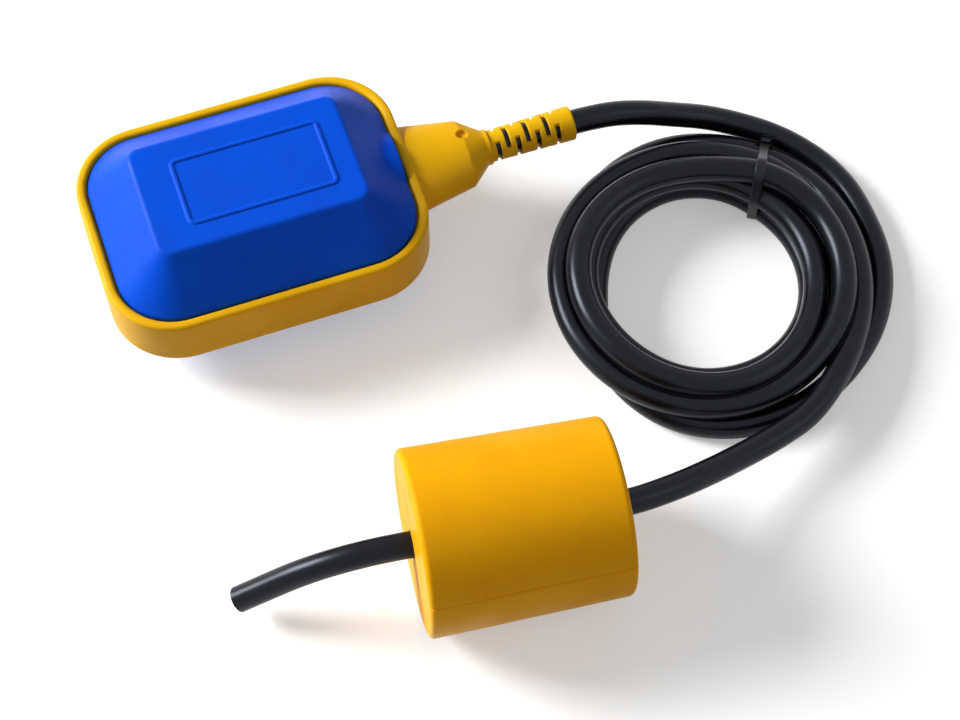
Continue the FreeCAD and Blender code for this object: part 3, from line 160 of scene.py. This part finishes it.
radii = smooth_between(-walk, -angles, [s[1] for s in stations]) / math.cos(math.pi / POINTS_PER_TURN)
heights = smooth_between(-walk, -angles, [s[2] for s in stations])
coil_points = np.column_stack([COIL_CENTRE[0] + radii * np.cos(np.radians(walk)),
                               COIL_CENTRE[1] + radii * np.sin(np.radians(walk)), heights])
print("coil control points:", len(coil_points))

# %% [markdown]
# ## One spline for the whole cable
# The curve has order 3, so it is pulled towards its points without passing through them, and its
# ends are clamped to the first and last point. A round bevel gives it its thickness, and the
# bevelled curve is then turned into a mesh, because a mesh reports its true size. The same curve
# without a bevel gives the line down the middle, which the tie needs as well.

# %% The cable's spline
route = lead_points + [tuple(p) for p in coil_points] + run_points + inside_points + tail_points
cable_curve = bpy.data.curves.new("cable_spline", "CURVE")
cable_curve.dimensions = "3D"
spline = cable_curve.splines.new("NURBS")
spline.points.add(len(route) - 1)
for point, place in zip(spline.points, route):
    point.co = (place[0] * MM, place[1] * MM, place[2] * MM, 1)
spline.order_u = 3
spline.use_endpoint_u = True
spline.resolution_u = 8
print("control points:", len(route))

# %% The line down its middle
holder = bpy.data.objects.new("cable_spline", cable_curve)
line_mesh = bpy.data.meshes.new_from_object(holder)
cable_line = np.array([v.co for v in line_mesh.vertices])
bpy.data.meshes.remove(line_mesh)

# %% The sheath
cable_curve.bevel_depth = RADIUS
cable_curve.bevel_resolution = 7
cable_curve.use_fill_caps = True
sheath_mesh = bpy.data.meshes.new_from_object(holder)
sheath_mesh.name = "cable"
cable = bpy.data.objects.new("cable", sheath_mesh)
scene.collection.objects.link(cable)
for face in sheath_mesh.polygons:
    face.use_smooth = len(face.vertices) == 4
bpy.data.objects.remove(holder)
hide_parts("cable_lead", "cable_coil", "cable_run")
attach(cable, "float")
print("sheath faces:", len(sheath_mesh.polygons))

# %% [markdown]
# ## The tie
# One nylon tie holds the turns together. A tie pulled tight takes the shortest way round the
# strands, which is their convex outline in the plane of the tie. So the plane is cut through the
# cable's line, a circle is drawn round every strand that it meets, and the outline of all the
# circles is the strap's path. The lead lies outside the tie and is left out.

# %% Strands inside the tie
TIE_OUTER, TIE_INNER = np.array((176.5, -18.6)), np.array((160.5, -45.2))
TIE_BEHIND, TIE_REACH = -8.0, 31.0
tie_way = (TIE_OUTER - TIE_INNER) / np.linalg.norm(TIE_OUTER - TIE_INNER)
tie_side = np.array((-tie_way[1], tie_way[0]))
flat = cable_line[:, :2] / MM - TIE_INNER
aside, along = flat @ tie_side, flat @ tie_way
strands = []
for i in np.nonzero(aside[:-1] * aside[1:] < 0)[0]:
    share = aside[i] / (aside[i] - aside[i + 1])
    reach = along[i] + share * (along[i + 1] - along[i])
    height = (cable_line[i, 2] + share * (cable_line[i + 1, 2] - cable_line[i, 2])) / MM
    if TIE_BEHIND < reach < TIE_REACH:
        strands.append((reach, height))
print("strands in the tie:", [(round(a, 1), round(b, 1)) for a, b in strands])

# %% The strap's path
CIRCLE_SIDES, TIE_HOLD = 32, 4.3
circle = [(math.cos(a), math.sin(a)) for a in np.linspace(0, 2 * math.pi, CIRCLE_SIDES + 1)[:-1]]
dots = sorted((r + TIE_HOLD * c, h + TIE_HOLD * s) for r, h in strands for c, s in circle)


def half_outline(points):
    """One side of the convex outline of sorted points."""
    kept = []
    for p in points:
        while len(kept) > 1 and ((kept[-1][0] - kept[-2][0]) * (p[1] - kept[-2][1])
                                 <= (kept[-1][1] - kept[-2][1]) * (p[0] - kept[-2][0])):
            kept.pop()
        kept.append(p)
    return kept[:-1]


STRAP_WIDTH, STRAP_THICK, STRAP_EDGE, OFF_FLOOR = 3.4, 1.1, 0.28, 0.05
outline = np.array(half_outline(dots) + half_outline(dots[::-1]))
outline[:, 1] = np.maximum(outline[:, 1], STRAP_THICK + OFF_FLOOR)
print("outline points:", len(outline))

# %% The strap
ahead, behind = np.roll(outline, -1, axis=0), np.roll(outline, 1, axis=0)
tangents = ahead - behind
tangents /= np.linalg.norm(tangents, axis=1)[:, None]
outwards = np.column_stack([tangents[:, 1], -tangents[:, 0]])
half, edge, thick = STRAP_WIDTH / 2, STRAP_EDGE, STRAP_THICK
section = [(-half, edge), (-half, thick - edge), (-half + edge, thick), (half - edge, thick),
           (half, thick - edge), (half, edge), (half - edge, 0), (-half + edge, 0)]


def in_tie(reach, height, sideways):
    """A point of the tie's own plane, in metres."""
    level = TIE_INNER + tie_way * reach + tie_side * sideways
    return Vector((level[0], level[1], height)) * MM


tie_shape = bmesh.new()
rings = [[tie_shape.verts.new(in_tie(*(place + out * rise), sideways)) for sideways, rise in section]
         for place, out in zip(outline, outwards)]
for ring, next_ring in zip(rings, rings[1:] + rings[:1]):
    for i in range(len(section)):
        j = (i + 1) % len(section)
        tie_shape.faces.new((ring[i], ring[j], next_ring[j], next_ring[i]))
print("strap faces:", len(tie_shape.faces))

# %% The tie's head and tail
HEAD = (3.8, 4.8, 2.9)
PAWL = (HEAD[0] * 0.52, HEAD[1] * 0.5, 0.9)
TAIL = (2.2, STRAP_WIDTH * 0.9, STRAP_THICK)
SHARP_FROM = math.radians(40)
HEAD_HEIGHT_COUNTS, HEAD_SLOPE_COUNTS, HEAD_SLOPE = 1.1, 3.0, 0.55


def head_score(i):
    """High for a place far out and high up, where the strap slopes as the head should."""
    return (outline[i, 0] + HEAD_HEIGHT_COUNTS * outline[i, 1]
            - HEAD_SLOPE_COUNTS * abs(outwards[i, 1] - HEAD_SLOPE))


spot = max(range(len(outline)), key=head_score)
head_place, head_out, head_way = outline[spot], outwards[spot], tangents[spot]


def block(middle_way, middle_out, size, rounding):
    """A small rounded block on the strap, given along the strap, across it and away from it."""
    made = bmesh.ops.create_cube(tie_shape, size=1)["verts"]
    for v in made:
        way, side, out = (v.co[k] * size[k] for k in range(3))
        flat_place = head_place + head_way * (way + middle_way) + head_out * (out + middle_out)
        v.co = in_tie(flat_place[0], flat_place[1], side)
    edges = list({e for v in made for e in v.link_edges})
    bmesh.ops.bevel(tie_shape, geom=edges, offset=rounding * MM, segments=3, profile=0.6, affect="EDGES")


block(0, HEAD[2] / 2, HEAD, 0.7)
block(0, HEAD[2] + 0.1, PAWL, 0.25)
block(2.4, HEAD[2] * 0.55, TAIL, 0.2)
bmesh.ops.recalc_face_normals(tie_shape, faces=tie_shape.faces)
tie_mesh = bpy.data.meshes.new("coil_tie")
tie_shape.to_mesh(tie_mesh)
tie_shape.free()
for face in tie_mesh.polygons:
    face.use_smooth = True
tie_mesh.set_sharp_from_angle(angle=SHARP_FROM)
tie = bpy.data.objects.new("coil_tie", tie_mesh)
scene.collection.objects.link(tie)
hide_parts("cable_tie")
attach(tie, "float")
print("tie faces:", len(tie_mesh.polygons), "head at", [round(float(v), 1) for v in head_place])

# %% [markdown]
# ## What the cable is
# The cable is a real length of something that bends. The tie and the counterweight are on it. Its far end
# is a bare cut.

# %% [markdown]
# ## Floor
# The switch lies on a pale table. The floor keeps the shadows that hold the object to the ground.
# To the eye and in reflections it is white, but it throws less light back up than white would, so
# that the undersides of the parts stay as deep as they are on a real table.

# %% Floor
FLOOR_REACH = 3.0
floor_mesh = bpy.data.meshes.new("floor")
corners = [(-1, -1), (1, -1), (1, 1), (-1, 1)]
floor_mesh.from_pydata([(x * FLOOR_REACH, y * FLOOR_REACH, 0) for x, y in corners], [], [(0, 1, 2, 3)])
floor = bpy.data.objects.new("floor", floor_mesh)
scene.collection.objects.link(floor)


def placed(tree, kind, label, **settings):
    """A node placed in a tree with its settings, ready to be linked."""
    node = tree.nodes.new(kind)
    node.label = label
    for key, value in settings.items():
        setattr(node, key, value)
    return node


def seen_directly(tree):
    """1 for what the eye, a reflection or a clear part sees, 0 for light that bounces."""
    path = placed(tree, "ShaderNodeLightPath", "who looks")
    either = placed(tree, "ShaderNodeMath", "camera or glossy", operation="MAXIMUM")
    any_of = placed(tree, "ShaderNodeMath", "or transmission", operation="MAXIMUM")
    tree.links.new(path.outputs["Is Camera Ray"], either.inputs[0])
    tree.links.new(path.outputs["Is Glossy Ray"], either.inputs[1])
    tree.links.new(either.outputs[0], any_of.inputs[0])
    tree.links.new(path.outputs["Is Transmission Ray"], any_of.inputs[1])
    return any_of.outputs[0]


def blank(name, roughness, specular=0.5, metallic=0.0):
    """A material with a Principled BSDF, and what the next steps link to."""
    material = bpy.data.materials.new(name)
    material.use_nodes = True
    shader = material.node_tree.nodes["Principled BSDF"]
    shader.inputs["Roughness"].default_value = roughness
    shader.inputs["Specular IOR Level"].default_value = specular
    shader.inputs["Metallic"].default_value = metallic
    return material, material.node_tree, shader


# The sockets of a Mix node that count when it mixes colours, and when it mixes plain values
COLOUR_A, COLOUR_B, COLOUR_OUT = 6, 7, 2
VALUE_A, VALUE_B, VALUE_OUT = 2, 3, 0
FLOOR_BOUNCE, FLOOR_SEEN = (0.45, 0.45, 0.46, 1), (0.97, 0.97, 0.97, 1)
paper, tree, shader = blank("table top", 0.9, specular=0.0)
tone = placed(tree, "ShaderNodeMix", "seen or bounced", data_type="RGBA")
tone.inputs[COLOUR_A].default_value, tone.inputs[COLOUR_B].default_value = FLOOR_BOUNCE, FLOOR_SEEN
tree.links.new(seen_directly(tree), tone.inputs[0])
tree.links.new(tone.outputs[COLOUR_OUT], shader.inputs["Base Color"])
FLOOR_LIFT = 0.34
lift = placed(tree, "ShaderNodeMath", "lift for the eye", operation="MULTIPLY")
lift.inputs[1].default_value = FLOOR_LIFT
tree.links.new(seen_directly(tree), lift.inputs[0])
tree.links.new(lift.outputs[0], shader.inputs["Emission Strength"])
shader.inputs["Emission Color"].default_value = (1, 1, 1, 1)
floor_mesh.materials.append(paper)
print("floor reaches", FLOOR_REACH, "m")

# %% [markdown]
# ## Light
# One large lamp stands low on the left, behind the switch. Low light rakes over the float, so the
# slopes that face it glow and the slopes that turn away go deep blue, which is what tells the eye
# that the body has bevels. A weak lamp on the right keeps the far sides readable, and a white sky
# fills the rest. Together they bring a level surface to about the colour that is written down.

# %% World and lamps
scene.view_settings.view_transform = "Standard"
SKY, SKY_SEEN = 0.22, 1.0
world = bpy.data.worlds.new("sky")
scene.world = world
world.use_nodes = True
tree = world.node_tree
strength = placed(tree, "ShaderNodeMix", "sky strength", data_type="FLOAT")
strength.inputs[VALUE_A].default_value, strength.inputs[VALUE_B].default_value = SKY, SKY_SEEN
tree.links.new(seen_directly(tree), strength.inputs[0])
tree.links.new(strength.outputs[VALUE_OUT], tree.nodes["Background"].inputs["Strength"])
tree.nodes["Background"].inputs["Color"].default_value = (1, 1, 1, 1)


def lamp(name, place, power, size):
    """An area lamp that faces the middle of the switch."""
    light = bpy.data.lights.new(name, "AREA")
    light.energy, light.size = power, size
    holder = bpy.data.objects.new(name, light)
    holder.location = place
    holder.rotation_mode = "QUATERNION"
    holder.rotation_quaternion = (Vector(place) - LOOK_AT).to_track_quat("Z", "Y")
    scene.collection.objects.link(holder)


lamp("key", (-1.75, 1.25, 1.32), 96, 1.1)
lamp("fill", (1.5, -1.1, 1.6), 4, 1.2)

# %% [markdown]
# ## Node groups
# Every moulded part shares two effects. The first is the skin that the steel mould leaves: a fine
# satin grain, and slow clouds where the plastic cooled a little faster or slower. The second is
# what happens at edges: a real edge is never sharp, it catches the light, and it is handled more
# than the faces, so it turns a little paler. Each effect is one node group, built once, and every
# material sets its own scale and strength.

# %% Group: moulded skin
def group_of(name, inputs, outputs):
    """An empty shader group with named sockets."""
    group = bpy.data.node_groups.new(name, "ShaderNodeTree")
    for label, value in inputs:
        socket = group.interface.new_socket(label, in_out="INPUT", socket_type="NodeSocketFloat")
        socket.default_value = value
    for label, kind in outputs:
        group.interface.new_socket(label, in_out="OUTPUT", socket_type="NodeSocket" + kind)
    return group, group.nodes.new("NodeGroupInput"), group.nodes.new("NodeGroupOutput")


skin, given, result = group_of("moulded skin", [("Grain Scale", 1400), ("Cloud Scale", 45)],
                               [("Grain", "Float"), ("Clouds", "Float"), ("Gloss", "Float")])
place = placed(skin, "ShaderNodeTexCoord", "on the part")
grain = placed(skin, "ShaderNodeTexNoise", "satin grain")
grain.inputs["Detail"].default_value = 3
clouds = placed(skin, "ShaderNodeTexNoise", "cooling clouds")
clouds.inputs["Detail"].default_value = 4
clouds.inputs["Roughness"].default_value = 0.55
spread = placed(skin, "ShaderNodeMapRange", "cloud contrast")
spread.inputs["From Min"].default_value, spread.inputs["From Max"].default_value = 0.35, 0.65
uneven = placed(skin, "ShaderNodeMath", "gloss follows both", operation="MULTIPLY_ADD")
uneven.inputs[1].default_value = 0.3
for node, scale in ((grain, "Grain Scale"), (clouds, "Cloud Scale")):
    skin.links.new(place.outputs["Object"], node.inputs["Vector"])
    skin.links.new(given.outputs[scale], node.inputs["Scale"])
skin.links.new(clouds.outputs["Fac"], spread.inputs["Value"])
skin.links.new(grain.outputs["Fac"], uneven.inputs[0])
skin.links.new(spread.outputs["Result"], uneven.inputs[2])
skin.links.new(grain.outputs["Fac"], result.inputs["Grain"])
skin.links.new(spread.outputs["Result"], result.inputs["Clouds"])
skin.links.new(uneven.outputs[0], result.inputs["Gloss"])
print("group:", skin.name)

# %% Group: handled edges
edges, given, result = group_of("handled edges", [("Width", 0.0006), ("Reach", 0.25)],
                                [("Edge", "Float"), ("Rounded", "Vector")])
bevel = placed(edges, "ShaderNodeBevel", "softened edge", samples=6)
truth = placed(edges, "ShaderNodeNewGeometry", "the face itself")
agree = placed(edges, "ShaderNodeVectorMath", "how far they agree", operation="DOT_PRODUCT")
turned = placed(edges, "ShaderNodeMath", "turned away", operation="SUBTRACT")
turned.inputs[0].default_value = 1
reach = placed(edges, "ShaderNodeMapRange", "edge mask")
place = placed(edges, "ShaderNodeTexCoord", "on the part")
patchy = placed(edges, "ShaderNodeTexNoise", "uneven handling")
patchy.inputs["Scale"].default_value = 160
broken = placed(edges, "ShaderNodeMath", "patchy edge", operation="MULTIPLY")
edges.links.new(given.outputs["Width"], bevel.inputs["Radius"])
edges.links.new(bevel.outputs["Normal"], agree.inputs[0])
edges.links.new(truth.outputs["Normal"], agree.inputs[1])
edges.links.new(agree.outputs["Value"], turned.inputs[1])
edges.links.new(turned.outputs[0], reach.inputs["Value"])
edges.links.new(given.outputs["Reach"], reach.inputs["From Max"])
edges.links.new(place.outputs["Object"], patchy.inputs["Vector"])
edges.links.new(reach.outputs["Result"], broken.inputs[0])
edges.links.new(patchy.outputs["Fac"], broken.inputs[1])
edges.links.new(broken.outputs[0], result.inputs["Edge"])
edges.links.new(bevel.outputs["Normal"], result.inputs["Rounded"])
print("group:", edges.name)

# %% [markdown]
# ## Finishes
# A finish is two tones of one colour that the clouds mix, a paler tone for the edges, and a
# roughness that drifts between two values. The bump is a few hundredths of a millimetre deep, and
# two tenths on the cast iron. All the numbers that stay the same over the part are set on the
# shader itself.

# %% A finish
def finish(name, colour, deep, rubbed, gloss, specular=0.5, metallic=0.0, grain=1400, cloud=45,
           depth=0.00003, width=0.0006, reach=0.25):
    """A procedural material: two tones, pale edges, drifting gloss and a fine bump."""
    material, tree, shader = blank(name, gloss[0], specular, metallic)
    surface = placed(tree, "ShaderNodeGroup", "skin", node_tree=skin)
    surface.inputs["Grain Scale"].default_value = grain
    surface.inputs["Cloud Scale"].default_value = cloud
    handled = placed(tree, "ShaderNodeGroup", "edges", node_tree=edges)
    handled.inputs["Width"].default_value = width
    handled.inputs["Reach"].default_value = reach
    tones = placed(tree, "ShaderNodeMix", "two tones", data_type="RGBA")
    tones.inputs[COLOUR_A].default_value, tones.inputs[COLOUR_B].default_value = (*colour, 1), (*deep, 1)
    paler = placed(tree, "ShaderNodeMix", "paler edges", data_type="RGBA")
    paler.inputs[COLOUR_B].default_value = (*rubbed, 1)
    polish = placed(tree, "ShaderNodeMapRange", "drifting gloss")
    polish.inputs["To Min"].default_value, polish.inputs["To Max"].default_value = gloss
    bump = placed(tree, "ShaderNodeBump", "grain")
    bump.inputs["Strength"].default_value = 0.6
    bump.inputs["Distance"].default_value = depth
    link = tree.links.new
    link(surface.outputs["Clouds"], tones.inputs[0])
    link(tones.outputs[COLOUR_OUT], paler.inputs[COLOUR_A])
    link(handled.outputs["Edge"], paler.inputs[0])
    link(paler.outputs[COLOUR_OUT], shader.inputs["Base Color"])
    link(surface.outputs["Gloss"], polish.inputs["Value"])
    link(polish.outputs["Result"], shader.inputs["Roughness"])
    link(surface.outputs["Grain"], bump.inputs["Height"])
    link(handled.outputs["Rounded"], bump.inputs["Normal"])
    link(bump.outputs["Normal"], shader.inputs["Normal"])
    return material


SATIN, INSULATION = (0.36, 0.5), (0.35, 0.5)
finishes = {
    "shell_blue": finish("float blue", (0, 0.085, 0.74), (0, 0.074, 0.66), (0.0, 0.17, 1.0), SATIN, 0.1,
                         width=0.0008),
    "band_yellow": finish("band yellow", (0.93, 0.50, 0.002), (0.85, 0.44, 0.001), (1.0, 0.66, 0.06),
                          SATIN, 0.15, width=0.0008),
    "boot_rubber": finish("boot yellow", (0.93, 0.52, 0.002), (0.85, 0.46, 0.001), (1.0, 0.66, 0.06),
                          (0.38, 0.52), 0.15, width=0.0007),
    "weight_yellow": finish("weight yellow", (1.0, 0.47, 0.001), (0.95, 0.41, 0.001), (1.0, 0.62, 0.02),
                            SATIN, 0.10, width=0.0008),
    "cable_black": finish("sheath", (0.0012, 0.0014, 0.0022), (0.003, 0.0034, 0.005), (0.02, 0.022, 0.03),
                          (0.24, 0.32), 0.27, grain=2200, cloud=70, depth=0.00002, width=0.0003),
    "tie_black": finish("tie nylon", (0.006, 0.006, 0.007), (0.012, 0.012, 0.014), (0.12, 0.125, 0.14),
                        (0.26, 0.4), 0.3, width=0.0003),
    "seal_rubber": finish("seal rubber", (0.012, 0.012, 0.012), (0.02, 0.02, 0.02), (0.05, 0.05, 0.05),
                          (0.6, 0.75), 0.4),
    "inner_plastic": finish("natural plastic", (0.66, 0.65, 0.6), (0.58, 0.57, 0.52), (0.8, 0.79, 0.75),
                            (0.4, 0.55)),
    "lever_plastic": finish("lever acetal", (0.76, 0.73, 0.62), (0.68, 0.65, 0.55), (0.85, 0.83, 0.75),
                            (0.3, 0.42)),
    "switch_black": finish("switch case", (0.012, 0.012, 0.013), (0.02, 0.02, 0.022), (0.06, 0.06, 0.065),
                           (0.4, 0.55), width=0.0003),
    "plunger_red": finish("plunger red", (0.5, 0.012, 0.008), (0.42, 0.01, 0.006), (0.6, 0.05, 0.04),
                          (0.3, 0.45), width=0.0002),
    "terminal_brass": finish("brass", (0.72, 0.5, 0.2), (0.6, 0.4, 0.15), (0.9, 0.72, 0.4), (0.25, 0.42),
                             metallic=1.0, grain=3000, width=0.0002),
    "steel": finish("bright steel", (0.62, 0.63, 0.65), (0.5, 0.51, 0.53), (0.8, 0.81, 0.82), (0.16, 0.34),
                    metallic=1.0, grain=3000, width=0.0003),
    "iron": finish("cast iron", (0.10, 0.10, 0.105), (0.06, 0.058, 0.056), (0.2, 0.2, 0.2), (0.5, 0.7),
                   metallic=0.7, grain=700, depth=0.0002),
    "core_brown": finish("brown core", (0.09, 0.035, 0.014), (0.07, 0.026, 0.01), (0.15, 0.07, 0.04),
                         INSULATION),
    "core_blue": finish("blue core", (0.01, 0.05, 0.35), (0.008, 0.04, 0.28), (0.05, 0.12, 0.45),
                        INSULATION),
    "core_grey": finish("grey core", (0.16, 0.16, 0.17), (0.13, 0.13, 0.14), (0.25, 0.25, 0.26),
                        INSULATION),
}
COOL_SHINE = (0.74, 0.82, 1.0, 1)
for name in ("cable_black", "tie_black"):
    finishes[name].node_tree.nodes["Principled BSDF"].inputs["Specular Tint"].default_value = COOL_SHINE
print("finishes:", len(finishes))

# %% [markdown]
# ## Paint
# The parts inside the float are never seen from outside, but they are painted too, so that the
# model is finished wherever it is opened. Each part's finish is the one that its record names.

# %% Paint every part
def paint(thing, material):
    """Give a part one material."""
    thing.data.materials.clear()
    thing.data.materials.append(material)


for part in frame["record"]["subparts"]:
    paint(frame["nodes"][part["node"]], finishes[part["material_slot"]])
paint(cable, finishes["cable_black"])
paint(tie, finishes["tie_black"])
